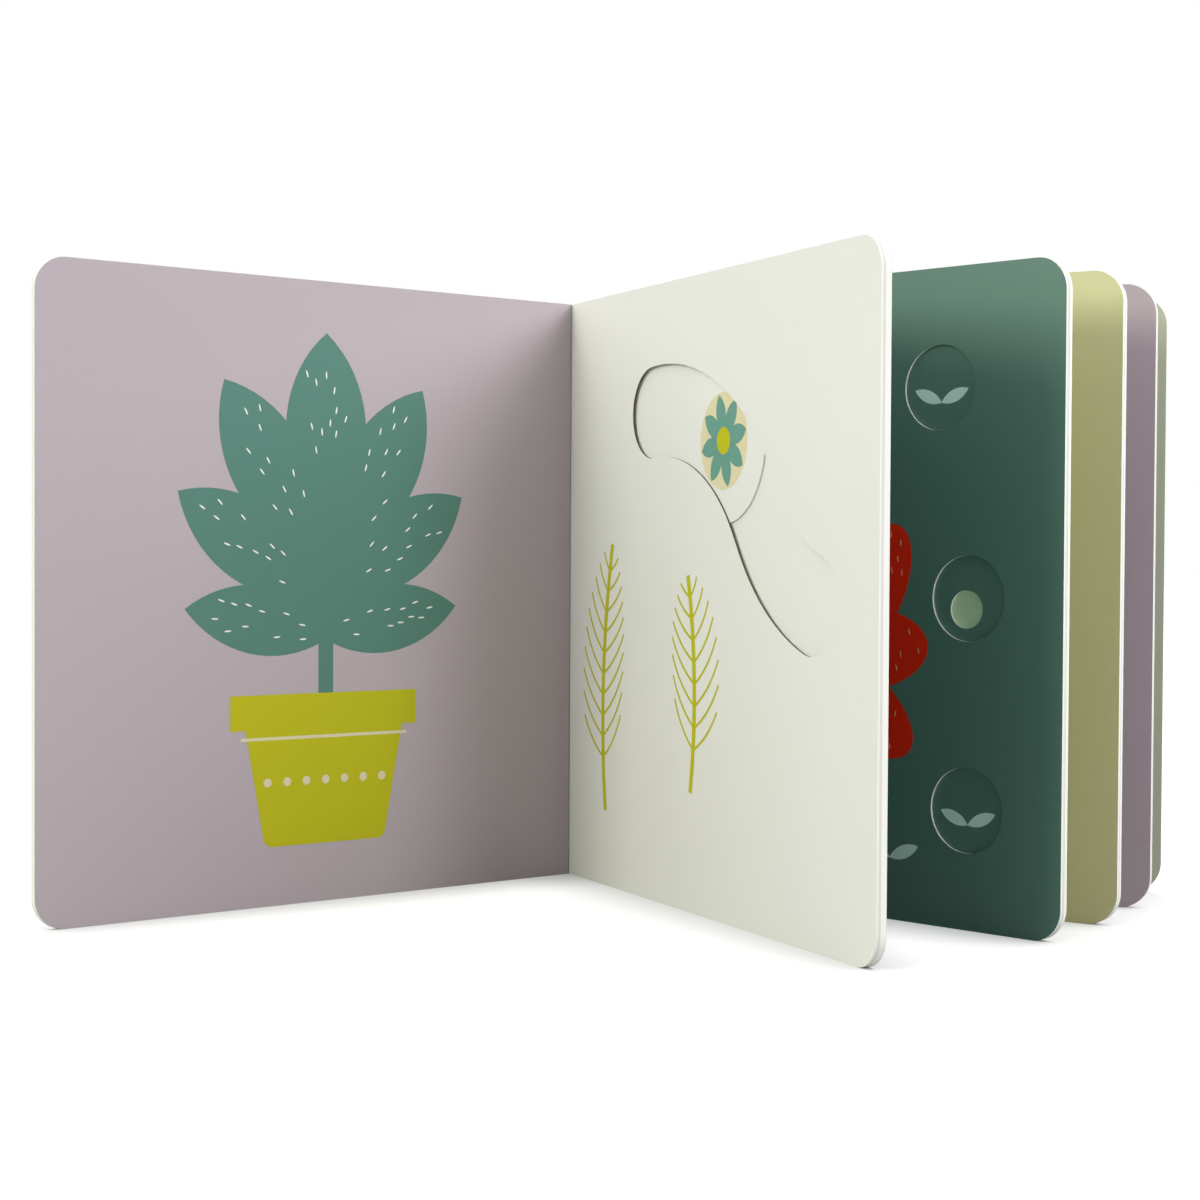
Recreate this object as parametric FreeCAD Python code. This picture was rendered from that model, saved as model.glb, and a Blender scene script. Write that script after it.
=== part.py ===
import FreeCAD, Part
import math
import os

# A board book standing open and fanned on its bottom edges, in millimetres.
# X runs along the open spread, Y runs away from the reader and Z is up.
# The origin is at the foot of the glued spine, on the surface that the book stands on.
# Angles are in degrees and are measured in plan, anticlockwise from X.

# Leaf, from the gutter to its free edge
PAGE_WIDTH = 180.0
PAGE_HEIGHT = 180.0
CORNER_RADIUS = 9.0

# Laminated plies of a leaf: printed front, cut guide layer, printed back
LEAF_THICKNESS = 3.0

# Fan of the open book
SPINE_ANGLE = 69.0
LEAF_1_ANGLE = -64.8
LEAF_2_ANGLE = -44.5
LEAF_3_ANGLE = -34.4
LEAF_4_ANGLE = -24.2
FRONT_COVER_ANGLE = 218.6
BACK_COVER_ANGLE = -14.9
FRONT_COVER_OPENS = 100.0

# Covers, and the glue and board behind the gutters
COVER_THICKNESS = 2.4
COVER_ROOT_GAP = 0.6
FRONT_ROOT_TAPER = 6.0
BACK_ROOT_TAPER = 1.6
GLUE_DEPTH = 0.6
SPINE_BOARD = 0.85
HINGE_CLEARANCE = 0.3

# First leaf: thin ply with the curved window, and the ply behind it with the disc's channel
SLIDER_FRONT_PLY = 0.5
SLIDER_GUIDE_PLY = 0.7

# Its curved window: along is from the gutter, drop is from the head
SLOT_START_ALONG = 57.2
SLOT_START_DROP = 37.2
SLOT_START_HEADING = 5.1
SLOT_WIDTH = 26.8
FIRST_BEND_RADIUS = 65.4
FIRST_BEND_TURN = -60.6
STRAIGHT_LENGTH = 6.2
SECOND_BEND_RADIUS = 54.0
SECOND_BEND_TURN = 37.3

# Disc that slides behind that window, on one arc
DISC_DIAMETER = 46.0
DISC_THICKNESS = 0.5
DISC_ALONG = 99.4
DISC_DROP = 47.2
GUIDE_RADIUS = 105.0
GUIDE_HEADING = -25.0
GUIDE_TURN_BACK = 23.9
GUIDE_TURN_ON = 36.2
DISC_CLEARANCE = 0.4

# Second leaf: ply with the round windows, and the ply behind it with the panel's channel
WINDOW_FRONT_PLY = 0.75
WINDOW_GUIDE_PLY = 1.0

# Its round windows, the middle one halfway up
WINDOW_DIAMETER = 23.3
WINDOW_PITCH = 57.4
MIDDLE_WINDOW_ALONG = 150.0
TOP_WINDOW_OFFSET = -9.8

# Panel that slides up behind them, and its finger hole
PANEL_WIDTH = 44.0
PANEL_THICKNESS = 0.8
PANEL_ALONG = 146.0
PANEL_FOOT = 9.5
PANEL_HEAD = 16.5
PANEL_TRAVEL = 8.5
PANEL_CORNER_RADIUS = 3.0
PANEL_CLEARANCE = 0.3
FINGER_HOLE_DIAMETER = 10.4
FINGER_HOLE_ALONG = 149.0
FINGER_HOLE_DROP = 3.0

# Worked out from the values above
LEAF_ANGLES = (LEAF_1_ANGLE, LEAF_2_ANGLE, LEAF_3_ANGLE, LEAF_4_ANGLE)
FACE_OFFSET = HINGE_CLEARANCE / 2
SLOT_START_HEIGHT = PAGE_HEIGHT - SLOT_START_DROP
DISC_HEIGHT = PAGE_HEIGHT - DISC_DROP
MIDDLE_WINDOW_HEIGHT = PAGE_HEIGHT / 2
PANEL_HEIGHT = PAGE_HEIGHT - PANEL_FOOT - PANEL_HEAD
FINGER_HOLE_HEIGHT = MIDDLE_WINDOW_HEIGHT - FINGER_HOLE_DROP
FAR = 2 * PAGE_WIDTH

os.makedirs("parts", exist_ok=True)


def heading(angle):
    """Unit vector in plan at an angle in degrees."""
    turn = math.radians(angle)
    return FreeCAD.Vector(math.cos(turn), math.sin(turn), 0)


def prism(corners, height):
    """Straight prism on a closed plan outline, standing on the floor."""
    outline = Part.makePolygon(corners + [corners[0]])
    return Part.Face(outline).extrude(FreeCAD.Vector(0, 0, height))


def root_length(angle):
    """Length of spine that a leaf's glued root takes up."""
    return LEAF_THICKNESS / abs(math.sin(math.radians(angle - SPINE_ANGLE)))


def gutters():
    """Points of the five gutters, in plan, along the spine."""
    along = heading(SPINE_ANGLE)
    lengths = [root_length(angle) for angle in LEAF_ANGLES]
    place = -sum(lengths) / 2
    points = [along * place]
    for length in lengths:
        place += length
        points.append(along * place)
    return points


GUTTERS = gutters()
FRONT_HINGE = GUTTERS[0] + heading(LEAF_1_ANGLE - 90) * FACE_OFFSET
BACK_HINGE = GUTTERS[-1] + heading(LEAF_4_ANGLE + 90) * FACE_OFFSET


def page_frame(fold, angle):
    """Placement of a page: X from the gutter, Y up and Z out of its front face."""
    along = heading(angle)
    out = heading(angle - 90)
    axes = FreeCAD.Matrix(
        along.x, 0, out.x, fold.x,
        along.y, 0, out.y, fold.y,
        0, 1, 0, 0,
        0, 0, 0, 1)
    return FreeCAD.Placement(axes)


def rounded_free_corners(board, free_edge):
    """Round the top and bottom corners of a board's free edge."""
    corners = []
    for edge in board.Edges:
        middle = edge.CenterOfMass
        level = abs(edge.Vertexes[0].Z - edge.Vertexes[-1].Z) < 0.001
        at_free_edge = math.hypot(middle.x - free_edge.x, middle.y - free_edge.y) < 0.01
        if level and at_free_edge:
            corners.append(edge)
    return board.makeFillet(CORNER_RADIUS, corners)


def leaf(index):
    """One leaf between two gutters, its root mitred along the spine."""
    along = heading(LEAF_ANGLES[index]) * PAGE_WIDTH
    through = heading(LEAF_ANGLES[index] + 90) * LEAF_THICKNESS
    front = GUTTERS[index]
    board = prism([front, front + along, front + along + through, GUTTERS[index + 1]], PAGE_HEIGHT)
    return rounded_free_corners(board, front + along + through * 0.5)


def cover(hinge, angle, outward, taper):
    """Cover board on its hinge line, its root cut back on the outside so that it can swing."""
    along = heading(angle)
    out = heading(angle + outward)
    inner = hinge + out * FACE_OFFSET
    outer = inner + out * COVER_THICKNESS
    corners = [
        inner + along * COVER_ROOT_GAP,
        inner + along * PAGE_WIDTH,
        outer + along * PAGE_WIDTH,
        outer + along * taper,
    ]
    board = prism(corners, PAGE_HEIGHT)
    return rounded_free_corners(board, (corners[1] + corners[2]) * 0.5)


def spine_layer(depth, thickness):
    """Strip along the back of the gutters, bevelled where the open front cover comes to lie."""
    back = heading(SPINE_ANGLE + 90)
    first = GUTTERS[0] + back * depth
    last = GUTTERS[-1] + back * depth
    strip = prism([first, last, last + back * thickness, first + back * thickness], PAGE_HEIGHT)
    along = heading(FRONT_COVER_ANGLE - FRONT_COVER_OPENS)
    out = heading(FRONT_COVER_ANGLE - FRONT_COVER_OPENS - 90)
    inner = FRONT_HINGE + along * COVER_ROOT_GAP + out * FACE_OFFSET
    outer = FRONT_HINGE + along * FRONT_ROOT_TAPER + out * (FACE_OFFSET + COVER_THICKNESS)
    slope = (outer - inner).normalize()
    away = FreeCAD.Vector(-slope.y, slope.x, 0)
    start = inner - away * HINGE_CLEARANCE - slope * FAR
    end = start + slope * (2 * FAR)
    swing = prism([start, end, end + away * FAR, start + away * FAR], PAGE_HEIGHT)
    return strip.cut(swing)


def lane(start_x, start_y, angle, spans, width):
    """Face of constant width along a path of (length, turn) spans, with round ends."""
    left = []
    right = []
    half = width / 2
    point = FreeCAD.Vector(start_x, start_y, 0)
    first = point
    first_angle = angle
    for length, turn in spans:
        side = heading(angle + 90)
        if turn:
            radius = length / math.radians(turn)
            centre = point + side * radius
            middle_side = heading(angle + turn / 2 + 90)
            end_side = heading(angle + turn + 90)
            middle = centre - middle_side * radius
            end = centre - end_side * radius
            left.append(Part.Arc(point + side * half, middle + middle_side * half,
                                 end + end_side * half).toShape())
            right.append(Part.Arc(point - side * half, middle - middle_side * half,
                                  end - end_side * half).toShape())
        else:
            end = point + heading(angle) * length
            left.append(Part.LineSegment(point + side * half, end + side * half).toShape())
            right.append(Part.LineSegment(point - side * half, end - side * half).toShape())
        point = end
        angle += turn
    caps = []
    for place, out in ((point, angle), (first, first_angle + 180)):
        side = heading(out + 90) * half
        caps.append(Part.Arc(place + side, place + heading(out) * half, place - side).toShape())
    edges = Part.__sortEdges__(left + right + caps)
    return Part.Face(Part.Wire(edges))


def recess(face, top, bottom):
    """Solid cut from a page between two depths below its front face."""
    face = face.copy()
    face.translate(FreeCAD.Vector(0, 0, -top))
    return face.extrude(FreeCAD.Vector(0, 0, top - bottom))


def arc_length(radius, turn):
    """Length of an arc from its radius and turn."""
    return radius * abs(math.radians(turn))


def slot_face():
    """Outline of the curved window: an arch, a short straight and a reverse bend."""
    spans = (
        (arc_length(FIRST_BEND_RADIUS, FIRST_BEND_TURN), FIRST_BEND_TURN),
        (STRAIGHT_LENGTH, 0),
        (arc_length(SECOND_BEND_RADIUS, SECOND_BEND_TURN), SECOND_BEND_TURN),
    )
    return lane(SLOT_START_ALONG, SLOT_START_HEIGHT, SLOT_START_HEADING, spans, SLOT_WIDTH)


def guide_face():
    """Outline of the hidden channel, as wide as the disc and its clearance."""
    turn = GUIDE_TURN_BACK + GUIDE_TURN_ON
    radial = GUIDE_HEADING + 90
    rest = FreeCAD.Vector(DISC_ALONG, DISC_HEIGHT, 0)
    centre = rest - heading(radial) * GUIDE_RADIUS
    start = centre + heading(radial + GUIDE_TURN_BACK) * GUIDE_RADIUS
    spans = ((arc_length(GUIDE_RADIUS, turn), -turn),)
    width = DISC_DIAMETER + 2 * DISC_CLEARANCE
    return lane(start.x, start.y, GUIDE_HEADING + GUIDE_TURN_BACK, spans, width)


def disc_face(diameter, along, height):
    """Round face on a page."""
    circle = Part.Circle(FreeCAD.Vector(along, height, 0), FreeCAD.Vector(0, 0, 1), diameter / 2)
    return Part.Face(Part.Wire(circle.toShape()))


def rounded_rectangle(centre, foot, width, height, radius):
    """Upright rectangle on a page, with round corners."""
    corner = FreeCAD.Vector(centre - width / 2, foot, 0)
    board = Part.makeBox(width, height, 1, corner)
    edges = [edge for edge in board.Edges if abs(edge.Vertexes[0].Z - edge.Vertexes[-1].Z) > 0.5]
    board = board.makeFillet(radius, edges)
    faces = [face for face in board.Faces if abs(face.CenterOfMass.z) < 0.001]
    return faces[0]


def window_places():
    """Centres of the three round windows, from the top down."""
    places = []
    for row in (1, 0, -1):
        offset = TOP_WINDOW_OFFSET if row == 1 else 0
        places.append((MIDDLE_WINDOW_ALONG + offset, MIDDLE_WINDOW_HEIGHT + row * WINDOW_PITCH))
    return places


def slider_recess():
    """Curved window through the front ply and the disc's channel behind it."""
    guide_bottom = SLIDER_FRONT_PLY + SLIDER_GUIDE_PLY
    window = recess(slot_face(), 0, guide_bottom)
    channel = recess(guide_face(), SLIDER_FRONT_PLY, guide_bottom)
    return window.fuse(channel)


def panel_recess():
    """Round windows through the front ply and the panel's channel behind them."""
    guide_bottom = WINDOW_FRONT_PLY + WINDOW_GUIDE_PLY
    channel = rounded_rectangle(
        PANEL_ALONG, PANEL_FOOT - PANEL_CLEARANCE, PANEL_WIDTH + 2 * PANEL_CLEARANCE,
        PANEL_HEIGHT + PANEL_TRAVEL + 2 * PANEL_CLEARANCE, PANEL_CORNER_RADIUS)
    cut = recess(channel, WINDOW_FRONT_PLY, guide_bottom)
    for along, height in window_places():
        cut = cut.fuse(recess(disc_face(WINDOW_DIAMETER, along, height), 0, guide_bottom))
    return cut


def pages():
    """The leaves, glued at their roots, with the windows and channels cut in the first two."""
    block = spine_layer(0, GLUE_DEPTH)
    for index in range(len(LEAF_ANGLES)):
        block = block.fuse(leaf(index))
    for index, cut in enumerate((slider_recess(), panel_recess())):
        cut.Placement = page_frame(GUTTERS[index], LEAF_ANGLES[index])
        block = block.cut(cut)
    return block.removeSplitter().Solids[0]


def spine():
    """Board strip glued behind the gutters."""
    return spine_layer(GLUE_DEPTH, SPINE_BOARD).Solids[0]


def slider_disc():
    """Card disc that slides between the plies of the first leaf."""
    top = SLIDER_FRONT_PLY + (SLIDER_GUIDE_PLY - DISC_THICKNESS) / 2
    face = disc_face(DISC_DIAMETER, DISC_ALONG, DISC_HEIGHT)
    disc = recess(face, top, top + DISC_THICKNESS)
    disc.Placement = page_frame(GUTTERS[0], LEAF_ANGLES[0])
    return disc


def window_panel():
    """Card panel behind the round windows, with its finger hole."""
    top = WINDOW_FRONT_PLY + (WINDOW_GUIDE_PLY - PANEL_THICKNESS) / 2
    outline = rounded_rectangle(
        PANEL_ALONG, PANEL_FOOT, PANEL_WIDTH, PANEL_HEIGHT, PANEL_CORNER_RADIUS)
    hole = disc_face(FINGER_HOLE_DIAMETER, FINGER_HOLE_ALONG, FINGER_HOLE_HEIGHT)
    panel = recess(outline.cut(hole).Faces[0], top, top + PANEL_THICKNESS)
    panel.Placement = page_frame(GUTTERS[1], LEAF_ANGLES[1])
    return panel


def main():
    """Write each piece of the book as one STEP file."""
    pieces = {
        "pages": pages(),
        "spine": spine(),
        "front_cover": cover(FRONT_HINGE, FRONT_COVER_ANGLE, -90, FRONT_ROOT_TAPER),
        "back_cover": cover(BACK_HINGE, BACK_COVER_ANGLE, 90, BACK_ROOT_TAPER),
        "slider_disc": slider_disc(),
        "window_panel": window_panel(),
    }
    for name, shape in pieces.items():
        shape.exportStep("parts/" + name + ".step")
        box = shape.BoundBox
        print(name, shape.isValid(), len(shape.Solids), round(shape.Volume, 1),
              [round(value, 2) for value in (box.XMin, box.YMin, box.ZMin, box.XMax, box.YMax, box.ZMax)])


main()
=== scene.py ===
"""Looks of an open board book: laminated leaves, card sliders, print, covers and the studio."""
import logging
import math
import random
from contextlib import contextmanager
from dataclasses import dataclass, field
from enum import Enum
from typing import Callable, Iterator

import bmesh
import bpy
from mathutils import Matrix, Vector
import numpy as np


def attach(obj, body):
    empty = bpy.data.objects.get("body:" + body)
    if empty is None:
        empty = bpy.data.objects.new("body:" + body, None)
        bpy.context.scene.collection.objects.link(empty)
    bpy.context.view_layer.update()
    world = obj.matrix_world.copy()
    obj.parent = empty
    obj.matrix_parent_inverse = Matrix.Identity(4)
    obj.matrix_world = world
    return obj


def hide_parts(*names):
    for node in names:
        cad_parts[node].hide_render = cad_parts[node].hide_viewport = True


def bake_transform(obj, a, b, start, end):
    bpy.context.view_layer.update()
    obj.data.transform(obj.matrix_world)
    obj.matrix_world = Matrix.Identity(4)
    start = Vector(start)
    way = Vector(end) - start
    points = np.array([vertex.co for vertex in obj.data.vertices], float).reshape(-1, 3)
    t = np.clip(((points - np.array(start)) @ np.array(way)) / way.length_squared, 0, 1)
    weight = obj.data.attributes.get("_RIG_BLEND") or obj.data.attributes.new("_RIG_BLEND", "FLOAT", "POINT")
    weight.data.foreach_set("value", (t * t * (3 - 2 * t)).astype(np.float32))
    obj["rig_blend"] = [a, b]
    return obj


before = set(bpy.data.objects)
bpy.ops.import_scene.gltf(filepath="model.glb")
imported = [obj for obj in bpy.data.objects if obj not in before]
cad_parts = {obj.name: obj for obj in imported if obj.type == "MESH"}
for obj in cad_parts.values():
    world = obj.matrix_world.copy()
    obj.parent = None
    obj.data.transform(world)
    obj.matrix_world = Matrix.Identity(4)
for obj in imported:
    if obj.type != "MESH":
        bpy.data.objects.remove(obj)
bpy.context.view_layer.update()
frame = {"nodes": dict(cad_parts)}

LOG = logging.getLogger("board_book")

MM = 0.001
UP = Vector((0, 0, 1))

# Points closer than this are one point, in metres.
HAIR = 1e-6
# A face whose normal reaches this far along an axis looks that way.
FACING = 0.3
# Edges that turn less than this are shaded as one surface, in degrees.
SMOOTH_TURN = 50
# Cutters reach from this far above a page's face to this far below it, in mm.
CUTTER_TOP = 2.0
CUTTER_BOTTOM = -4.0


class Pick(Enum):
    """What an edit-mode selection is made of."""

    POINTS = "VERT"
    EDGES = "EDGE"
    FACES = "FACE"


class Body(Enum):
    """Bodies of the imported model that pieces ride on."""

    PAGES = "page_block"
    FRONT = "front_cover"
    BACK = "back_cover"
    DISC = "slider_disc"
    PANEL = "window_panel"


class Face(Enum):
    """Material slots of a board, by the faces that take them."""

    EDGE = 0
    FRONT = 1
    BACK = 2
    ROOT = 3
    INSIDE = 4


# Colour and material helpers

def linear(hex_colour: str) -> tuple[float, float, float, float]:
    """Turn an sRGB hex colour into linear RGBA.

    Args:
        hex_colour: Six hex digits, without a hash.

    Returns:
        Linear red, green, blue and an alpha of 1.
    """
    parts = [int(hex_colour[i:i + 2], 16) / 255 for i in (0, 2, 4)]
    values = [c / 12.92 if c <= 0.04045 else ((c + 0.055) / 1.055) ** 2.4 for c in parts]
    return (*values, 1.0)


def add_node(tree: bpy.types.NodeTree, kind: str, settings: dict | None = None,
             values: dict | None = None, links: dict | None = None) -> bpy.types.Node:
    """Add a shader node with its settings, socket values and incoming links.

    Args:
        tree: Node tree that gets the node.
        kind: Blender's node type name.
        settings: Node properties by name.
        values: Input values by socket name or number.
        links: Output sockets by the input that they feed.

    Returns:
        The new node.
    """
    node = tree.nodes.new(kind)
    for name, value in (settings or {}).items():
        setattr(node, name, value)
    for name, value in (values or {}).items():
        node.inputs[name].default_value = value
    for name, source in (links or {}).items():
        tree.links.new(source, node.inputs[name])
    return node


@dataclass(frozen=True)
class Coated:
    """Offset-printed board under a satin film.

    Flat ink with a hint of unevenness, a soft highlight and a faint tooth. The real tooth is
    finer than the render can show, so it is drawn 0.5 mm wide.
    """

    name: str
    colour: str
    roughness: float = 0.45
    gloss: float = 1.36
    darkest: float = 0.985
    lightest: float = 1.015
    cloud_mm: float = 38.0
    cloud_detail: float = 3.0
    grain_mm: float = 0.5
    grain_detail: float = 4.0
    grain_depth_mm: float = 0.006
    grain_strength: float = 0.35

    def shade(self, share: float) -> tuple[float, float, float, float]:
        """Return the colour made darker or lighter by a share, as linear RGBA."""
        return (*(min(1.0, value * share) for value in linear(self.colour)[:3]), 1.0)

    def make(self) -> bpy.types.Material:
        """Make the material the first time that it is asked for.

        Returns:
            The material of this name.
        """
        known = bpy.data.materials.get(self.name)
        if known:
            return known
        material = bpy.data.materials.new(self.name)
        material.use_nodes = True
        tree = material.node_tree
        shader = tree.nodes["Principled BSDF"]
        place = add_node(tree, "ShaderNodeTexCoord")
        cloud = add_node(
            tree, "ShaderNodeTexNoise",
            values={"Scale": 1 / (self.cloud_mm * MM), "Detail": self.cloud_detail},
            links={"Vector": place.outputs["Object"]})
        tone = add_node(
            tree, "ShaderNodeMix", {"data_type": "RGBA"},
            {"A": self.shade(self.darkest), "B": self.shade(self.lightest)},
            {"Factor": cloud.outputs["Fac"]})
        grain = add_node(
            tree, "ShaderNodeTexNoise",
            values={"Scale": 1 / (self.grain_mm * MM), "Detail": self.grain_detail},
            links={"Vector": place.outputs["Object"]})
        bump = add_node(
            tree, "ShaderNodeBump",
            values={"Strength": self.grain_strength, "Distance": self.grain_depth_mm * MM},
            links={"Height": grain.outputs["Fac"]})
        tree.links.new(tone.outputs["Result"], shader.inputs["Base Color"])
        tree.links.new(bump.outputs["Normal"], shader.inputs["Normal"])
        shader.inputs["Roughness"].default_value = self.roughness
        shader.inputs["IOR"].default_value = self.gloss
        return material


@dataclass(frozen=True)
class CutBoard(Coated):
    """Die-cut edge of board: matt, with fibres crushed along the cut, darker in their gaps."""

    roughness: float = 0.85
    gloss: float = 1.45
    darkest: float = 0.9
    lightest: float = 1.0
    cloud_mm: float = 0.35
    cloud_detail: float = 5.0
    grain_mm: float = 0.35
    grain_detail: float = 5.0
    grain_depth_mm: float = 0.03
    grain_strength: float = 0.6


# Printed and laminated faces: even colour, with a sheen where light grazes them.
CREAM = Coated("coated_board_cream", "E7E7E4")
MAUVE = Coated("coated_board_mauve", "B9ADB4")
OLIVE = Coated("coated_board_olive", "D4D3A6")
PALE = Coated("coated_board_pale_green", "BABFAB")
COVER = Coated("coated_cover_mauve", "B7ABB1")
# The dark page takes more ink: the film over it shines more, and greys it at a slant.
GREEN = Coated("coated_board_dark_green", "577F73", roughness=0.5, gloss=1.6)
# Sliding card and what the finger hole opens onto: thin card, pale and smooth.
CARD = Coated("coated_card_white", "E8E8E6")
FLOOR_GREEN = Coated("coated_card_leaf_green", "D0EDC4")
# Cut edges: white pulp, grey-lined pulp between the faces, and brown pulp painted much darker as the shade
# inside the slider's slot and channel.
CORE = CutBoard("cut_board_white", "FBFAF6")
# Brown board darkened into painted shade: the walls of a narrow, undercut recess take their shadowed colour
# here.
GREY_CORE = CutBoard("cut_board_grey_lined", "E6E5E0")
BROWN_CORE_PAINTED_SHADE = CutBoard("cut_board_brown_painted_slot_shade", "5A5024")
# Inks, each a flat field of one colour under the same film as its page.
TEAL_INK = Coated("ink_teal", "538276")
SEA_INK = Coated("ink_sea_green", "679B8F")
SAND_INK = Coated("ink_sand", "DFD5B0")
LIME_INK = Coated("ink_chartreuse", "C0BC00")
WHITE_INK = Coated("ink_white", "F2F1EC")
RED_INK = Coated("ink_red", "FF2A04")
ROSE_INK = Coated("ink_pale_rose", "F4B494")
FOAM_INK = Coated("ink_pale_blue_green", "DCFAF0")


# Modelling helpers

@contextmanager
def editing(piece: bpy.types.Object) -> Iterator[None]:
    """Work on one piece in edit mode.

    Args:
        piece: Mesh object to edit.
    """
    activate(piece)
    bpy.ops.object.mode_set(mode="EDIT")
    yield
    bpy.ops.object.mode_set(mode="OBJECT")


def activate(piece: bpy.types.Object) -> None:
    """Select only this piece and make it active.

    Args:
        piece: Object that the next operators act on.
    """
    bpy.ops.object.select_all(action="DESELECT")
    piece.select_set(True)
    bpy.context.view_layer.objects.active = piece


def pick(piece: bpy.types.Object, kind: Pick, test: Callable) -> None:
    """Select the parts of a mesh in edit mode that pass a test.

    Args:
        piece: Mesh object in edit mode.
        kind: Points, edges or faces.
        test: Called with each bmesh element.
    """
    bpy.ops.mesh.select_mode(type=kind.value)
    bpy.ops.mesh.select_all(action="DESELECT")
    mesh = bmesh.from_edit_mesh(piece.data)
    items = {Pick.POINTS: mesh.verts, Pick.EDGES: mesh.edges, Pick.FACES: mesh.faces}[kind]
    for item in items:
        if test(item):
            item.select_set(True)
    mesh.select_flush_mode()
    bmesh.update_edit_mesh(piece.data)


def extrude(offset: tuple[float, float, float]) -> None:
    """Extrude the selection by an offset in metres."""
    bpy.ops.mesh.extrude_region_move(TRANSFORM_OT_translate={"value": offset})


def new_piece(name: str) -> bpy.types.Object:
    """Name the primitive that was just added.

    Args:
        name: Name of the object and its mesh.

    Returns:
        The primitive.
    """
    piece = bpy.context.object
    piece.name = name
    piece.data.name = name
    return piece


def thicken(piece: bpy.types.Object, depth: float) -> None:
    """Make a flat outline a closed solid.

    Args:
        piece: Flat mesh in the XY plane.
        depth: Distance to extrude along Z, in metres.
    """
    with editing(piece):
        bpy.ops.mesh.select_all(action="SELECT")
        extrude((0, 0, depth))
        bpy.ops.mesh.select_all(action="SELECT")
        bpy.ops.mesh.normals_make_consistent(inside=False)


def lift(piece: bpy.types.Object, level: float) -> None:
    """Move a whole mesh along Z.

    Args:
        piece: Mesh object.
        level: How far, in mm.
    """
    with editing(piece):
        bpy.ops.mesh.select_all(action="SELECT")
        bpy.ops.transform.translate(value=(0, 0, level * MM))


def cutter(outline: bpy.types.Object) -> bpy.types.Object:
    """Make a flat outline on a page's face a solid that cuts through any ply.

    Args:
        outline: Flat mesh in the XY plane.

    Returns:
        The same object, now closed.
    """
    lift(outline, CUTTER_TOP)
    thicken(outline, (CUTTER_BOTTOM - CUTTER_TOP) * MM)
    return outline


def board(name: str, width: float, height: float, top: float, bottom: float,
          root_top: float = 0.0, root_bottom: float = 0.0, corner: float = 0.0,
          all_corners: bool = False, corner_facets: int = 14) -> bpy.types.Object:
    """Model a flat board in its page frame: X from the gutter, Y up and Z out of the page.

    Args:
        name: Name of the piece.
        width: Distance from the gutter to the free edge, in mm.
        height: Height of the board, in mm.
        top: Level of its front face, in mm.
        bottom: Level of its back face, in mm.
        root_top: Where its root starts on the front face, in mm.
        root_bottom: Where its root starts on the back face, in mm.
        corner: Radius of its round corners, in mm.
        all_corners: Round the corners at the root too.
        corner_facets: Facets of each round corner.

    Returns:
        The closed board.
    """
    bpy.ops.mesh.primitive_plane_add(size=1)
    piece = new_piece(name)
    middle = (root_top + width) / 2
    with editing(piece):
        bpy.ops.mesh.select_all(action="SELECT")
        bpy.ops.transform.resize(value=((width - root_top) * MM, height * MM, 1))
        bpy.ops.transform.translate(value=(middle * MM, height / 2 * MM, top * MM))
        if corner:
            pick(piece, Pick.POINTS, lambda v: all_corners or v.co.x > middle * MM)
            bpy.ops.mesh.bevel(offset=corner * MM, segments=corner_facets, affect="VERTICES")
        bpy.ops.mesh.select_all(action="SELECT")
        extrude((0, 0, (bottom - top) * MM))
        if root_bottom != root_top:
            level = bottom * MM
            root_end = root_top * MM + 10 * HAIR
            pick(piece, Pick.POINTS, lambda v: abs(v.co.z - level) < HAIR and v.co.x < root_end)
            bpy.ops.transform.translate(value=((root_bottom - root_top) * MM, 0, 0))
        bpy.ops.mesh.select_all(action="SELECT")
        bpy.ops.mesh.normals_make_consistent(inside=False)
    return piece


def strip(name: str, start: tuple[float, float], heading: float,
          spans: list[tuple[float, float]], width: float, facet_turn: float = 3.0,
          least_facets: int = 3) -> bpy.types.Object:
    """Model a flat strip of constant width by spinning and extruding its end edge.

    Args:
        name: Name of the piece.
        start: Where its centre line starts, in mm.
        heading: First direction, in degrees from X.
        spans: Length in mm and turn in degrees of each span.
        width: Width, in mm.
        facet_turn: Turn that one facet covers, in degrees.
        least_facets: Fewest facets of a span that turns.

    Returns:
        The flat strip in the XY plane.
    """
    bpy.ops.mesh.primitive_plane_add(size=1)
    piece = new_piece(name)
    angle = math.radians(heading)
    point = Vector((start[0], start[1], 0)) * MM
    side = Vector((-math.sin(angle), math.cos(angle), 0)) * width / 2 * MM
    with editing(piece):
        pick(piece, Pick.POINTS, lambda v: v.co.x < 0)
        bpy.ops.mesh.delete(type="VERT")
        mesh = bmesh.from_edit_mesh(piece.data)
        for vertex in mesh.verts:
            vertex.co = point + (side if vertex.co.y > 0 else -side)
        bmesh.update_edit_mesh(piece.data)
        bpy.ops.mesh.select_all(action="SELECT")
        for length, turn in spans:
            if turn:
                radius = length * MM / math.radians(turn)
                centre = point + Vector((-math.sin(angle), math.cos(angle), 0)) * radius
                steps = max(least_facets, int(abs(turn) / facet_turn))
                # A positive angle spins clockwise about +Z.
                bpy.ops.mesh.spin(steps=steps, angle=-math.radians(turn), center=centre,
                                  axis=(0, 0, 1))
                angle += math.radians(turn)
                point = centre - Vector((-math.sin(angle), math.cos(angle), 0)) * radius
            else:
                offset = Vector((math.cos(angle), math.sin(angle), 0)) * length * MM
                extrude(tuple(offset))
                point = point + offset
        bpy.ops.mesh.select_all(action="SELECT")
        bpy.ops.mesh.remove_doubles(threshold=HAIR)
        bpy.ops.mesh.normals_make_consistent(inside=False)
    return piece


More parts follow.
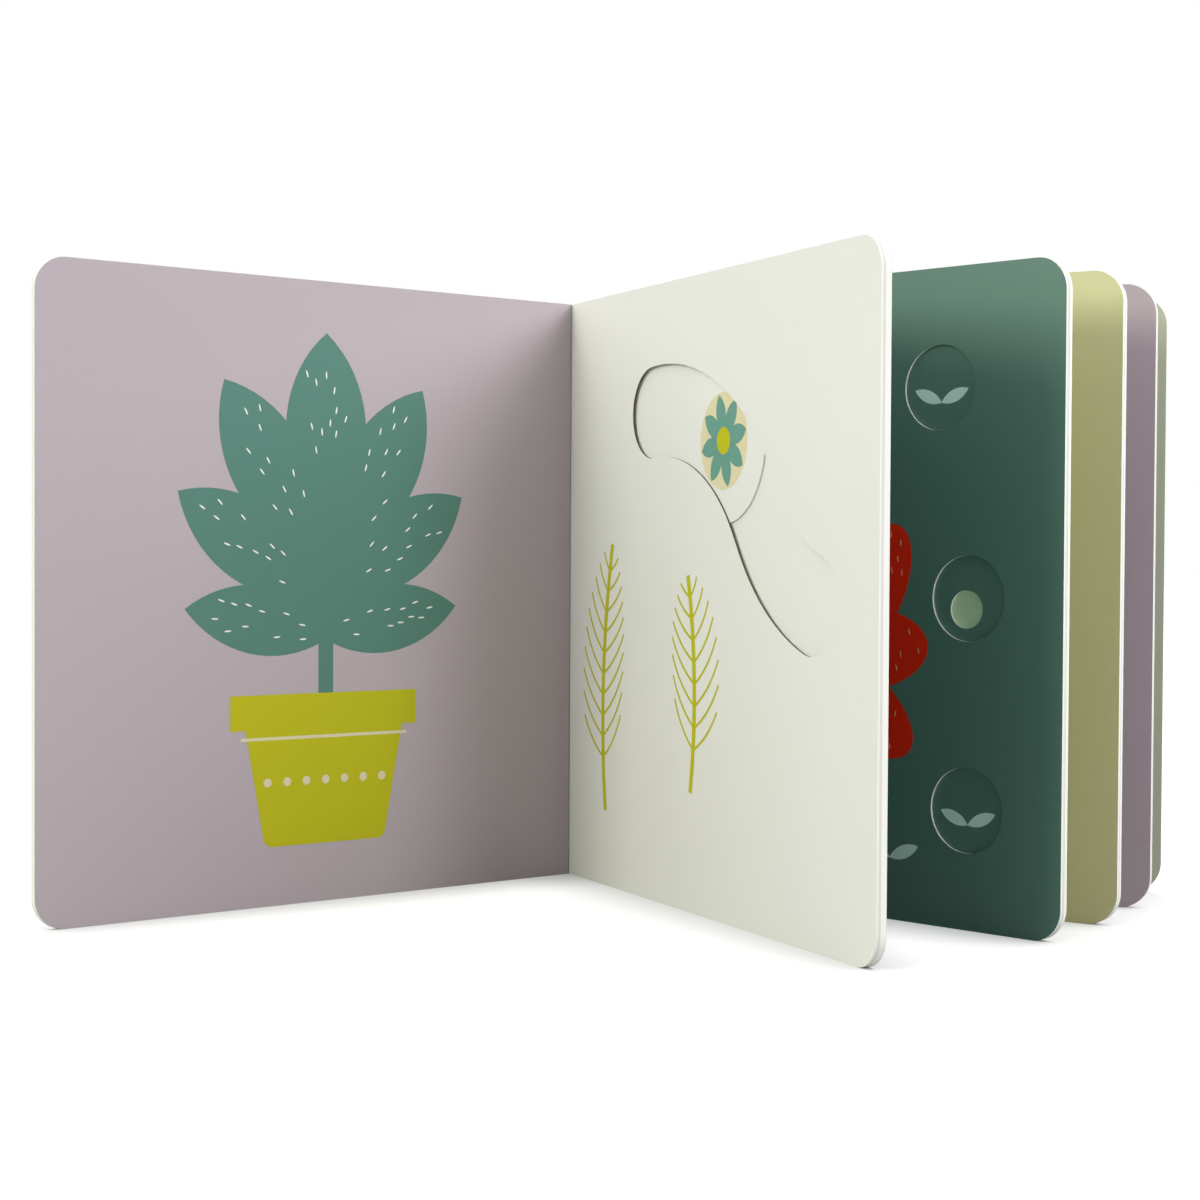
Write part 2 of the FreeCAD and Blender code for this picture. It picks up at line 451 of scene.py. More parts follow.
def round_face(name: str, place: tuple[float, float], radius: float, points: int = 64,
               level: float = 0.0) -> bpy.types.Object:
    """Model a flat disc.

    Args:
        name: Name of the piece.
        place: Its centre, in mm.
        radius: Its radius, in mm.
        points: Points on its rim.
        level: Its height along Z, in mm.

    Returns:
        The flat disc.
    """
    bpy.ops.mesh.primitive_circle_add(vertices=points, radius=radius * MM, fill_type="NGON",
                                      location=(place[0] * MM, place[1] * MM, level * MM))
    piece = new_piece(name)
    bpy.ops.object.transform_apply(location=True, rotation=True, scale=True)
    return piece


def column(name: str, outline: list[Vector], height: float) -> bpy.types.Object:
    """Model an upright solid over an outline in plan.

    Args:
        name: Name of the piece.
        outline: Corners in plan, in mm.
        height: Its height, in mm.

    Returns:
        The closed column.
    """
    bpy.ops.mesh.primitive_circle_add(vertices=len(outline), radius=1, fill_type="NGON")
    piece = new_piece(name)
    for vertex, corner in zip(piece.data.vertices, outline):
        vertex.co = (corner.x * MM, corner.y * MM, 0)
    thicken(piece, height * MM)
    return piece


def placed(piece: bpy.types.Object, x: float, y: float, turn: float = 0.0) -> bpy.types.Object:
    """Turn a shape about the origin and move it over the page.

    Args:
        piece: Shape about the origin.
        x: How far it moves from the gutter, in mm.
        y: How far it moves up the page, in mm.
        turn: Direction of its length, in degrees.

    Returns:
        The same shape, with its place in its mesh.
    """
    piece.rotation_euler = (0, 0, math.radians(turn))
    piece.location = (x * MM, y * MM, 0)
    activate(piece)
    bpy.ops.object.transform_apply(location=True, rotation=True, scale=True)
    return piece


def oval(x: float, y: float, length: float, width: float, turn: float = 0.0,
         points: int = 24) -> bpy.types.Object:
    """Model a flat oval.

    Args:
        x: Place of its middle, in mm.
        y: Place of its middle, in mm.
        length: Length, in mm.
        width: Width, in mm.
        turn: Direction of its length, in degrees.
        points: Points on its rim.

    Returns:
        The flat oval.
    """
    bpy.ops.mesh.primitive_circle_add(vertices=points, radius=0.5, fill_type="NGON")
    piece = new_piece("oval")
    piece.scale = (length * MM, width * MM, 1)
    return placed(piece, x, y, turn)


def blade(x: float, y: float, length: float, width: float, turn: float,
          steps: int = 12) -> bpy.types.Object:
    """Model a flat leaf between two arcs, pointed at both ends.

    Args:
        x: Place of its middle, in mm.
        y: Place of its middle, in mm.
        length: Length from tip to tip, in mm.
        width: Greatest width, in mm.
        turn: Direction of its length, in degrees.
        steps: Facets of each arc.

    Returns:
        The flat leaf.
    """
    radius = (length ** 2 + width ** 2) / (4 * width)
    sweep = 4 * math.atan(width / length)
    bpy.ops.mesh.primitive_plane_add(size=1)
    piece = new_piece("blade")
    with editing(piece):
        pick(piece, Pick.POINTS, lambda v: v.co.x < 0 or v.co.y < 0)
        bpy.ops.mesh.delete(type="VERT")
        bpy.ops.mesh.select_all(action="SELECT")
        bpy.ops.transform.translate(value=(length / 2 * MM - 0.5, -0.5, 0))
        for side in (-1, 1):
            centre = (0, side * (radius - width / 2) * MM, 0)
            bpy.ops.mesh.spin(steps=steps, angle=-sweep, center=centre, axis=(0, 0, 1))
        bpy.ops.mesh.select_all(action="SELECT")
        bpy.ops.mesh.remove_doubles(threshold=HAIR)
        bpy.ops.mesh.edge_face_add()
    return placed(piece, x, y, turn)


def scatter(count: int, spacing: float, width: float, height: float, seed: int,
            inside: Callable[[float, float], bool]) -> list[tuple[float, float]]:
    """Scatter places over a box from the origin, kept apart and inside a shape.

    Args:
        count: How many places are tried for.
        spacing: Least distance between two, in mm.
        width: Width of the box, in mm.
        height: Height of the box, in mm.
        seed: Start of the random series.
        inside: Tells whether a place is inside the shape.

    Returns:
        The places.
    """
    tries_each = 60
    series = random.Random(seed)
    places: list[tuple[float, float]] = []
    for _ in range(count * tries_each):
        x = series.uniform(0, width)
        y = series.uniform(0, height)
        if (len(places) < count and inside(x, y)
                and all(math.dist((x, y), place) > spacing for place in places)):
            places.append((x, y))
    return places


def apply_modifier(piece: bpy.types.Object, kind: str, **settings: object) -> None:
    """Add a modifier with its settings and apply it.

    Args:
        piece: Piece that takes the modifier.
        kind: Blender's modifier type name.
        **settings: Modifier properties by name.
    """
    modifier = piece.modifiers.new(kind.lower(), kind)
    for name, value in settings.items():
        setattr(modifier, name, value)
    activate(piece)
    bpy.ops.object.modifier_apply(modifier=modifier.name)


def combine(piece: bpy.types.Object, others: list[bpy.types.Object], operation: str) -> None:
    """Add closed solids to a piece or cut them out of it, and delete them.

    Args:
        piece: Closed piece that changes.
        others: Closed solids to add or to take away.
        operation: UNION or DIFFERENCE.
    """
    for other in others:
        apply_modifier(piece, "BOOLEAN", operation=operation, solver="EXACT", object=other)
        bpy.data.objects.remove(other)


def soften_edges(piece: bpy.types.Object, radius: float, facets: int = 2) -> None:
    """Round a board's cut edges a little.

    Args:
        piece: Board to soften.
        radius: Radius, in mm.
        facets: Facets of each round.
    """
    limit = math.radians(SMOOTH_TURN)
    apply_modifier(piece, "BEVEL", width=radius * MM, segments=facets, limit_method="ANGLE",
                   angle_limit=limit, miter_outer="MITER_ARC")
    bpy.ops.object.shade_smooth_by_angle(angle=limit)
    apply_modifier(piece, "WEIGHTED_NORMAL", weight=100, keep_sharp=True)


def dress(piece: bpy.types.Object, edge: Coated, front: Coated | None = None,
          back: Coated | None = None, root: Coated | None = None, inside: Coated | None = None,
          rim: float = 3.0, root_reach: float = 7.0, inside_from: float = 10.0) -> None:
    """Give a board its edge finish and its printed faces.

    Args:
        piece: Board in its page frame.
        edge: Finish of its edges.
        front: Finish of the face towards +Z.
        back: Finish of the face towards -Z.
        root: Finish of the root, where a wrap is glued over it.
        inside: Finish of the edges of windows and channels.
        rim: Edges this close to the board's outline belong to it, in mm.
        root_reach: How far from the gutter the root's faces lie at most, in mm.
        inside_from: How far from the gutter windows and channels start, in mm.
    """
    piece.data.materials.clear()
    for finish in (edge, front, back, root, inside):
        piece.data.materials.append((finish or edge).make())
    right = max(vertex.co.x for vertex in piece.data.vertices) - rim * MM
    top = max(vertex.co.y for vertex in piece.data.vertices) - rim * MM
    for face in piece.data.polygons:
        normal = face.normal
        x, y, _ = face.center
        if root and normal.x < -FACING and abs(normal.y) < FACING and x < root_reach * MM:
            face.material_index = Face.ROOT.value
        elif normal.z > FACING:
            face.material_index = Face.FRONT.value
        elif normal.z < -FACING:
            face.material_index = Face.BACK.value
        elif inside_from * MM < x < right and rim * MM < y < top:
            face.material_index = Face.INSIDE.value


def seat(piece: bpy.types.Object, place: Matrix) -> None:
    """Put a piece where its page stands, with the place in its mesh.

    Args:
        piece: Piece in its page's frame.
        place: The page's frame.
    """
    piece.matrix_world = place
    activate(piece)
    bpy.ops.object.transform_apply(location=True, rotation=True, scale=True)


def hand_in(piece: bpy.types.Object, body: Body, slot: str, *nodes: str) -> None:
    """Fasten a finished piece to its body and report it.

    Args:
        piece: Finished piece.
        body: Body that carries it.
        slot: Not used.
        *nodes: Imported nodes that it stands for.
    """
    if nodes:
        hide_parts(*nodes)
    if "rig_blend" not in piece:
        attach(piece, body.value)
    LOG.info("%s on %s", piece.name, body.value)


def heading_vector(angle: float) -> Vector:
    """Return the unit vector in plan at an angle in degrees."""
    return Vector((math.cos(math.radians(angle)), math.sin(math.radians(angle)), 0))


def page_matrix(origin: Vector, angle: float) -> Matrix:
    """Make the frame of a page: X at the angle in plan, Y up, Z out of it.

    Args:
        origin: Point of the page at its foot, in mm.
        angle: Direction of X in plan, in degrees.

    Returns:
        The frame, as a matrix in metres.
    """
    along = heading_vector(angle)
    out = heading_vector(angle - 90)
    matrix = Matrix.Identity(4)
    for row in range(3):
        matrix[row][0] = along[row]
        matrix[row][1] = UP[row]
        matrix[row][2] = out[row]
        matrix[row][3] = origin[row] * MM
    return matrix


# Sizes that the sub-assemblies share

@dataclass(frozen=True)
class Format:
    """Sizes of the book, as its construction gives them, in mm and degrees."""

    width: float = 180.0
    height: float = 180.0
    corner: float = 9.0
    leaf: float = 3.0
    cover: float = 2.4
    face_offset: float = 0.15
    spine_angle: float = 69.0
    leaf_angles: tuple[float, ...] = (-64.8, -44.5, -34.4, -24.2)
    front_angle: float = 218.6
    back_angle: float = -14.9
    glue: float = 0.6
    spine_board: float = 0.85

    def root_length(self, angle: float) -> float:
        """Return the length of spine under a leaf at that angle, in mm."""
        return self.leaf / abs(math.sin(math.radians(angle - self.spine_angle)))

    def gutters(self) -> list[Vector]:
        """Find the gutters along the spine.

        Returns:
            Their places in plan, from the front cover to the back cover, in mm.
        """
        along = heading_vector(self.spine_angle)
        lengths = [self.root_length(angle) for angle in self.leaf_angles]
        place = -sum(lengths) / 2
        points = [along * place]
        for length in lengths:
            place += length
            points.append(along * place)
        return points

    def front_hinge(self) -> Vector:
        """Return the front cover's hinge line in plan, in mm."""
        return self.gutters()[0] + heading_vector(self.leaf_angles[0] - 90) * self.face_offset

    def back_hinge(self) -> Vector:
        """Return the back cover's hinge line in plan, in mm."""
        return self.gutters()[-1] + heading_vector(self.leaf_angles[-1] + 90) * self.face_offset


@dataclass
class Printed:
    """A page that takes print: flat shapes of ink on its face."""

    frame: Matrix
    body: Body
    slot: str
    ink_height: float = 0.03

    def lay(self, name: str, shapes: list[bpy.types.Object], finish: Coated, layer: int = 1,
            level: float = 0.0, overlap: bool = False) -> None:
        """Join flat shapes to one printed field and lay it on the page.

        Args:
            name: Name of the printed field.
            shapes: Flat meshes in the page's frame.
            finish: Its ink.
            layer: How many inks deep it lies.
            level: Level of the face that carries it, in mm.
            overlap: Merge shapes that run into each other.
        """
        for shape in shapes:
            thicken(shape, self.ink_height * layer * MM)
        piece, *others = shapes
        if overlap:
            combine(piece, others, "UNION")
        elif others:
            activate(piece)
            for shape in others:
                shape.select_set(True)
            bpy.ops.object.join()
        piece.name = name
        piece.data.name = name
        lift(piece, level)
        piece.data.materials.clear()
        piece.data.materials.append(finish.make())
        seat(piece, self.frame)
        hand_in(piece, self.body, self.slot)


# Leaves

@dataclass
class Leaf:
    """One leaf of three laminated plies, printed on both faces."""

    index: int
    front: Coated
    back: Coated
    form: Format = field(default_factory=Format)
    front_ply: float = 1.0
    guide_ply: float = 0.8
    edge_radius: float = 0.08
    shrink: tuple[float, float, float] = (0.0, 0.07, 0.03)
    window_finish: Coated = CORE
    inner_finish: Coated = CARD

    def matrix(self) -> Matrix:
        """Return the frame of the leaf's front face."""
        return page_matrix(self.form.gutters()[self.index], self.form.leaf_angles[self.index])

    def root(self, depth: float) -> float:
        """Return where the mitred root starts at a depth below the front face, in mm."""
        turn = math.radians(self.form.leaf_angles[self.index] - self.form.spine_angle)
        return depth * math.cos(turn) / abs(math.sin(turn))

    def cuts(self, part: str) -> list[bpy.types.Object]:
        """Return the solids to cut out of a ply, none on a plain leaf."""
        return []

    def build(self) -> None:
        """Model the plies, each a hair smaller than the front one, and cut and dress them."""
        size = self.form
        levels = (0.0, self.front_ply, self.front_ply + self.guide_ply, size.leaf)
        plies = (
            ("front_ply", self.front, CORE, CORE),
            ("guide_ply", GREY_CORE, GREY_CORE, GREY_CORE),
            ("back_ply", self.inner_finish, self.back, CORE),
        )
        for number, (part, front, back, edge) in enumerate(plies):
            high, low = levels[number:number + 2]
            piece = board(f"leaf_{self.index + 1}_{part}", size.width - self.shrink[number],
                          size.height, -high, -low, self.root(high), self.root(low), size.corner)
            combine(piece, self.cuts(part), "DIFFERENCE")
            soften_edges(piece, self.edge_radius)
            dress(piece, edge, front, back, inside=self.window_finish)
            seat(piece, self.matrix())
            hand_in(piece, Body.PAGES, "page_board", "pages")


@dataclass
class SliderLeaf(Leaf):
    """First leaf: a curved window, and a card disc that slides behind it."""

    front_ply: float = 0.5
    guide_ply: float = 0.7
    # Slot and channel walls take the very dark brown: brown board plus painted shade of the deep recess.
    window_finish: Coated = BROWN_CORE_PAINTED_SHADE
    slot_start: tuple[float, float] = (57.2, 142.8)
    slot_heading: float = 5.1
    slot_width: float = 26.8
    bends: tuple[tuple[float, float], ...] = ((65.4, -60.6), (6.2, 0.0), (54.0, 37.3))
    round_points: int = 96
    disc: float = 46.0
    disc_card: float = 0.5
    disc_place: tuple[float, float] = (99.4, 132.8)
    guide_radius: float = 105.0
    guide_heading: float = -25.0
    guide_back: float = 23.9
    guide_on: float = 36.2
    clearance: float = 0.4
    motif: float = 27.0
    petals: int = 8
    petal_turn: float = 12.0
    petal_reach: float = 0.28
    petal_length: float = 0.4
    petal_width: float = 0.2
    core_radius: float = 0.14
    fronds: tuple[tuple[tuple[float, float], float, float, float, int], ...] = (
        ((26, 23), 98, 82, -22, 10), ((82, 34), 80, 62, 24, 8))
    stem_width: float = 2.0
    stroke_width: float = 0.8
    stroke_reach: float = 20.0
    stroke_slant: float = 62.0
    stroke_turn: float = 34.0

    def spans(self) -> list[tuple[float, float]]:
        """Return the slot's centre line as lengths and turns."""
        return [(size * abs(math.radians(turn)) if turn else size, turn)
                for size, turn in self.bends]

    def lane_tools(self, start: tuple[float, float], heading: float,
                   spans: list[tuple[float, float]], width: float) -> list[bpy.types.Object]:
        """Model the solids that cut a lane with round ends right through a ply.

        Args:
            start: Where its centre line starts, in mm.
            heading: First direction, in degrees from X.
            spans: Length in mm and turn in degrees of each span.
            width: Width of the lane, in mm.

        Returns:
            The lane and its two ends, as closed solids.
        """
        point = Vector((*start, 0))
        angle = heading
        for length, turn in spans:
            if turn:
                radius = length / math.radians(turn)
                centre = point + heading_vector(angle + 90) * radius
                angle += turn
                point = centre - heading_vector(angle + 90) * radius
            else:
                point = point + heading_vector(angle) * length
        outlines = (
            strip("lane", start, heading, spans, width),
            round_face("lane_start", start, width / 2, self.round_points),
            round_face("lane_end", (point.x, point.y), width / 2, self.round_points),
        )
        return [cutter(outline) for outline in outlines]

    def cuts(self, part: str) -> list[bpy.types.Object]:
        """Model the curved window of the front ply or the disc's channel of the guide ply.

        Args:
            part: Name of the ply.

        Returns:
            The solids to cut out of it.
        """
        if part == "front_ply":
            return self.lane_tools(self.slot_start, self.slot_heading, self.spans(),
                                   self.slot_width)
        if part == "guide_ply":
            radial = self.guide_heading + 90
            centre = Vector((*self.disc_place, 0)) - heading_vector(radial) * self.guide_radius
            start = centre + heading_vector(radial + self.guide_back) * self.guide_radius
            turn = self.guide_back + self.guide_on
            spans = [(self.guide_radius * math.radians(turn), -turn)]
            return self.lane_tools((start.x, start.y), self.guide_heading + self.guide_back,
                                   spans, self.disc + 2 * self.clearance)
        return []

    def build_disc(self) -> None:
        """Model the captive card disc and print a petalled round on it."""
        x, y = self.disc_place
        level = -self.front_ply - (self.guide_ply - self.disc_card) / 2
        card = round_face("disc_card", (x, y), self.disc / 2, self.round_points, level)
        thicken(card, -self.disc_card * MM)
        soften_edges(card, self.edge_radius)
        dress(card, CORE, CARD, CORE)
        seat(card, self.matrix())
        hand_in(card, Body.DISC, "disc_card", "slider_disc")
        sheet = Printed(self.matrix(), Body.DISC, "disc_card")
        ground = round_face("field", (x, y), self.motif / 2, 72)
        sheet.lay("rosette_field_print", [ground], SAND_INK, 1, level)
        petals = []
        for number in range(self.petals):
            turn = 360 / self.petals * number + self.petal_turn
            middle = Vector((x, y, 0)) + heading_vector(turn) * self.motif * self.petal_reach
            petals.append(blade(middle.x, middle.y, self.motif * self.petal_length,
                                self.motif * self.petal_width, turn))
        sheet.lay("rosette_petals_print", petals, SEA_INK, 2, level)
        core = round_face("core", (x, y), self.motif * self.core_radius, 32)
        sheet.lay("rosette_core_print", [core], LIME_INK, 3, level)

    def frond(self, start: tuple[float, float], heading: float, length: float, turn: float,
              pairs: int) -> tuple[bpy.types.Object, list[bpy.types.Object]]:
        """Draw a curved stem and the thin strokes along it, longest at mid height.

        Args:
            start: Foot of the stem, in mm.
            heading: First direction, in degrees.
            length: Length of the stem, in mm.
            turn: How far the stem turns, in degrees.
            pairs: Pairs of strokes.

        Returns:
            The stem and its strokes, as flat meshes.
        """
        stem = strip("stem", start, heading, [(length, turn)], self.stem_width)
        radius = length / math.radians(turn)
        centre = Vector((*start, 0)) + heading_vector(heading + 90) * radius
        strokes = []
        for number in range(pairs):
            share = 0.2 + 0.7 * number / (pairs - 1)
            angle = heading + turn * share
            point = centre - heading_vector(angle + 90) * radius
            reach = self.stroke_reach * math.sin(math.pi * (0.22 + 0.74 * share))
            for side in (-1, 1):
                strokes.append(strip("stroke", (point.x, point.y),
                                     angle + side * self.stroke_slant,
                                     [(reach, -side * self.stroke_turn)], self.stroke_width))
        return stem, strokes

    def print_fronds(self) -> None:
        """Print two line-drawn fronds at the foot of the page."""
        sheet = Printed(self.matrix(), Body.PAGES, "page_board")
        drawn = [self.frond(*frond) for frond in self.fronds]
        sheet.lay("frond_stems_print", [stem for stem, _ in drawn], LIME_INK, 2)
        strokes = [stroke for _, some in drawn for stroke in some]
        sheet.lay("frond_strokes_print", strokes, LIME_INK, 1)

    def build(self) -> None:
        """Model the leaf, its disc and its print."""
        super().build()
        self.build_disc()
        self.print_fronds()


@dataclass
class WindowLeaf(Leaf):
    """Second leaf: round windows, and a card panel that slides behind them."""

    front_ply: float = 0.75
    guide_ply: float = 1.0
    inner_finish: Coated = FLOOR_GREEN
    window: float = 23.3
    pitch: float = 57.4
    middle: tuple[float, float] = (150.0, 90.0)
    top_offset: float = -9.8
    panel_width: float = 44.0
    panel_height: float = 154.0
    panel_card: float = 0.8
    panel_along: float = 146.0
    panel_foot: float = 9.5
    panel_corner: float = 3.0
    travel: float = 8.5
    clearance: float = 0.3
    finger_hole: float = 10.4
    finger_place: tuple[float, float] = (149.0, 87.0)
    lobes: tuple[tuple[float, float, float, float, float], ...] = (
        (118, 92, 40, 21, 62), (112, 75, 50, 24, 4), (113, 60, 44, 21, -34),
        (100, 98, 44, 22, 100), (84, 84, 48, 24, 150), (88, 62, 46, 22, 205),
        (102, 78, 40, 40, 0))
    dashes: int = 110
    dash_spacing: float = 3.4
    dash_size: tuple[float, float] = (1.9, 0.36)
    dash_field: tuple[float, float] = (150.0, 120.0)
    dash_margin: float = 2.0
    sprout: float = 9.6
    sprout_width: float = 3.4
    sprout_offset: tuple[float, float] = (4.4, 1.2)
    sprout_slant: float = 68.0
    sprout_drop: float = 3.5
    page_sprout: tuple[float, float, float] = (124.5, 18.0, 1.1)

    def places(self) -> list[tuple[float, float]]:
        """Return the windows' centres, from the top down."""
        x, y = self.middle
        return [(x + self.top_offset, y + self.pitch), (x, y), (x, y - self.pitch)]

    def cuts(self, part: str) -> list[bpy.types.Object]:
        """Model the windows of the front ply or the panel's channel of the guide ply.

        Args:
            part: Name of the ply.

        Returns:
            The solids to cut out of it.
        """
        if part == "front_ply":
            return [cutter(round_face("window", place, self.window / 2, 96))
                    for place in self.places()]
        if part == "guide_ply":
            width = self.panel_width + 2 * self.clearance
            height = self.panel_height + self.travel + 2 * self.clearance
            channel = board("channel", width, height, CUTTER_TOP, CUTTER_BOTTOM,
                            corner=self.panel_corner, all_corners=True)
            return [placed(channel, self.panel_along - width / 2,
                           self.panel_foot - self.clearance)]
        return []

    def build_panel(self) -> None:
        """Model the sliding panel with its finger hole, and print its small motifs."""
        top = -self.front_ply - (self.guide_ply - self.panel_card) / 2
        panel = board("panel_card", self.panel_width, self.panel_height, top,
                      top - self.panel_card, corner=self.panel_corner, all_corners=True)
        placed(panel, self.panel_along - self.panel_width / 2, self.panel_foot)
        hole = cutter(round_face("hole", self.finger_place, self.finger_hole / 2))
        combine(panel, [hole], "DIFFERENCE")
        soften_edges(panel, self.edge_radius)
        dress(panel, CORE, GREEN, CORE)
        seat(panel, self.matrix())
        hand_in(panel, Body.PANEL, "panel_card", "window_panel")
        sprouts = []
        for x, y in self.places()[::2]:
            sprouts += self.sprig(x, y - self.sprout_drop, 1.0)
        sheet = Printed(self.matrix(), Body.PANEL, "panel_card")
        sheet.lay("panel_sprigs_print", sprouts, FOAM_INK, 1, top)

    def sprig(self, x: float, y: float, scale: float) -> list[bpy.types.Object]:
        """Draw a small two-leaf sprout.

        Args:
            x: Place of its foot, in mm.
            y: Place of its foot, in mm.
            scale: How many times its plain size.

        Returns:
            Its two leaves, as flat meshes.
        """
        aside, up = self.sprout_offset
        return [blade(x + side * aside * scale, y + up * scale, self.sprout * scale,
                      self.sprout_width * scale, 90 - side * self.sprout_slant)
                for side in (-1, 1)]

    def print_coral(self) -> None:
        """Print a red lobed coral with pale dashes, and one sprout on the page."""
        sheet = Printed(self.matrix(), Body.PAGES, "page_board")
        lobes = [oval(*lobe, 40) for lobe in self.lobes]
        sheet.lay("coral_print", lobes, RED_INK, overlap=True)
        places = scatter(self.dashes, self.dash_spacing, *self.dash_field, 7, self.in_coral)
        # Dashes stand upright, give or take 20 degrees by their place.
        dashes = [oval(x, y, *self.dash_size, 90 + (x * 7 + y * 5) % 40 - 20, 10)
                  for x, y in places]
        sheet.lay("coral_dashes_print", dashes, ROSE_INK, 2)
        sheet.lay("page_sprig_print", self.sprig(*self.page_sprout), FOAM_INK)

    def in_coral(self, x: float, y: float) -> bool:
        """Tell whether a place is well inside a lobe.

        Args:
            x: Distance from the gutter, in mm.
            y: Height, in mm.

        Returns:
            True inside one of the lobes, away from its rim.
        """
        for middle_x, middle_y, length, width, turn in self.lobes:
            away = Vector((x - middle_x, y - middle_y, 0))
            along = away.dot(heading_vector(turn)) / (length / 2 - self.dash_margin)
            aside = away.dot(heading_vector(turn + 90)) / (width / 2 - self.dash_margin)
            if along ** 2 + aside ** 2 < 1:
                return True
        return False

    def build(self) -> None:
        """Model the leaf, its panel and its print."""
        super().build()
        self.build_panel()
        self.print_coral()


# Covers and spine

@dataclass
class Cover:
    """A cover board of two plies, its root cut back on the outside."""

    name: str
    body: Body
    hinge: Vector
    angle: float
    levels: tuple[float, float]
    roots: tuple[float, float]
    front: Coated
    back: Coated
    form: Format = field(default_factory=Format)
    shrink: float = 0.08
    edge_radius: float = 0.12

    def build(self) -> None:
        """Model both plies and put them on the cover's body."""
        top, bottom = self.levels
        root_top, root_bottom = self.roots
        middle = (top + bottom) / 2
        root_middle = (root_top + root_bottom) / 2
        plies = (
            ("ply_a", top, middle, root_top, root_middle, 0.0, self.front, None),
            ("ply_b", middle, bottom, root_middle, root_bottom, self.shrink, None, self.back),
        )
        for part, high, low, root_high, root_low, shrink, front, back in plies:
            piece = board(f"{self.name}_{part}", self.form.width - shrink, self.form.height,
                          high, low, root_high, root_low, self.form.corner)
            soften_edges(piece, self.edge_radius)
            dress(piece, CORE, front, back, COVER)
            seat(piece, page_matrix(self.hinge, self.angle))
            hand_in(piece, self.body, "cover_board", self.name)


@dataclass
class PottedPlant:
    """Print of the left page: a leafy plant in a pot."""

    form: Format = field(default_factory=Format)
    leaves: tuple[tuple[float, float, float, float, float], ...] = (
        (90, 137, 56, 27, 90), (71, 126, 56, 25, 121), (109, 126, 56, 25, 59),
        (65, 104, 54, 23, 148), (115, 104, 54, 23, 32), (69, 82, 50, 20, 172),
        (111, 82, 50, 20, 8))
    stalk_foot: tuple[float, float] = (90.0, 58.0)
    stalk_size: tuple[float, float] = (66.0, 5.0)
    crown: tuple[float, float, float, float, float] = (90, 103, 50, 25, 90)
    dashes: int = 11
    dash_spacing: float = 3.6
    dash_size: tuple[float, float] = (2.3, 0.5)
    dash_field: tuple[float, float] = (0.62, 0.5)
    dash_start: tuple[float, float] = (0.28, 0.25)
    dash_fan: float = 3.0
    pot_place: tuple[float, float] = (90.0, 38.0)
    pot_size: tuple[float, float] = (56.0, 42.0)
    pot_foot: float = 0.72
    pot_corner: float = 2.4
    rim_size: tuple[float, float] = (1.12, 0.24)
    rim_rise: float = 0.42
    line_rise: float = 0.24
    line_width: float = 0.9
    dot: float = 2.6
    dot_pitch: float = 0.115
    dot_drop: float = 0.06

    def sheet(self) -> Printed:
        """Find the inside of the front cover as a page, X from its free edge.

        Returns:
            The page, ready for print.
        """
        size = self.form
        origin = (size.front_hinge()
                  + heading_vector(size.front_angle - 90) * size.face_offset
                  + heading_vector(size.front_angle) * size.width)
        return Printed(page_matrix(origin, size.front_angle - 180), Body.FRONT, "cover_board")

    def leaf_dashes(self) -> list[bpy.types.Object]:
        """Draw short dashes along each leaf, fanned out from its middle line.

        Returns:
            The dashes, as flat meshes.
        """
        dashes = []
        for number, (x, y, length, width, turn) in enumerate(self.leaves):
            places = scatter(self.dashes, self.dash_spacing, length * self.dash_field[0],
                             width * self.dash_field[1], number, lambda a, b: True)
            for along, aside in places:
                off = aside - width * self.dash_start[1]
                place = (Vector((x, y, 0))
                         + heading_vector(turn) * (along - length * self.dash_start[0])
                         + heading_vector(turn + 90) * off)
                dashes.append(oval(place.x, place.y, *self.dash_size,
                                   turn + off * self.dash_fan, 10))
        return dashes

    def pot(self) -> bpy.types.Object:
        """Model the flat outline of the pot, narrower at its foot.

        Returns:
            The flat pot.
        """
        width, height = self.pot_size
        x, y = self.pot_place
        bpy.ops.mesh.primitive_plane_add(size=1)
        piece = new_piece("pot")
        with editing(piece):
            bpy.ops.mesh.select_all(action="SELECT")
            bpy.ops.transform.resize(value=(width * MM, height * MM, 1))
            bpy.ops.transform.translate(value=(x * MM, y * MM, 0))
            pick(piece, Pick.POINTS, lambda v: v.co.y < y * MM)
            bpy.ops.transform.resize(value=(self.pot_foot, 1, 1))
            bpy.ops.mesh.select_all(action="SELECT")
            bpy.ops.mesh.bevel(offset=self.pot_corner * MM, segments=5, affect="VERTICES")
        return piece

    def build(self) -> None:
        """Print the plant, its dashes, the pot and its band."""
        sheet = self.sheet()
        leaves = [blade(*leaf, 18) for leaf in self.leaves]
        length, thickness = self.stalk_size
        stalk = strip("stalk", self.stalk_foot, 90, [(length, 0)], thickness)
        crown = oval(*self.crown, 40)
        sheet.lay("plant_leaves_print", [*leaves, stalk, crown], TEAL_INK, overlap=True)
        sheet.lay("plant_dashes_print", self.leaf_dashes(), WHITE_INK, 2)
        x, y = self.pot_place
        width, height = self.pot_size
        rim_width, rim_height = width * self.rim_size[0], height * self.rim_size[1]
        rim = strip("rim", (x - rim_width / 2, y + height * self.rim_rise), 0,
                    [(rim_width, 0)], rim_height)
        sheet.lay("pot_print", [self.pot(), rim], LIME_INK, 3, overlap=True)
        line = strip("line", (x - width / 2, y + height * self.line_rise), 0, [(width, 0)],
                     self.line_width)
        dots = [oval(x + step * width * self.dot_pitch, y - height * self.dot_drop,
                     self.dot, self.dot) for step in range(-3, 4)]
        sheet.lay("pot_band_print", [line, *dots], SAND_INK, 4)


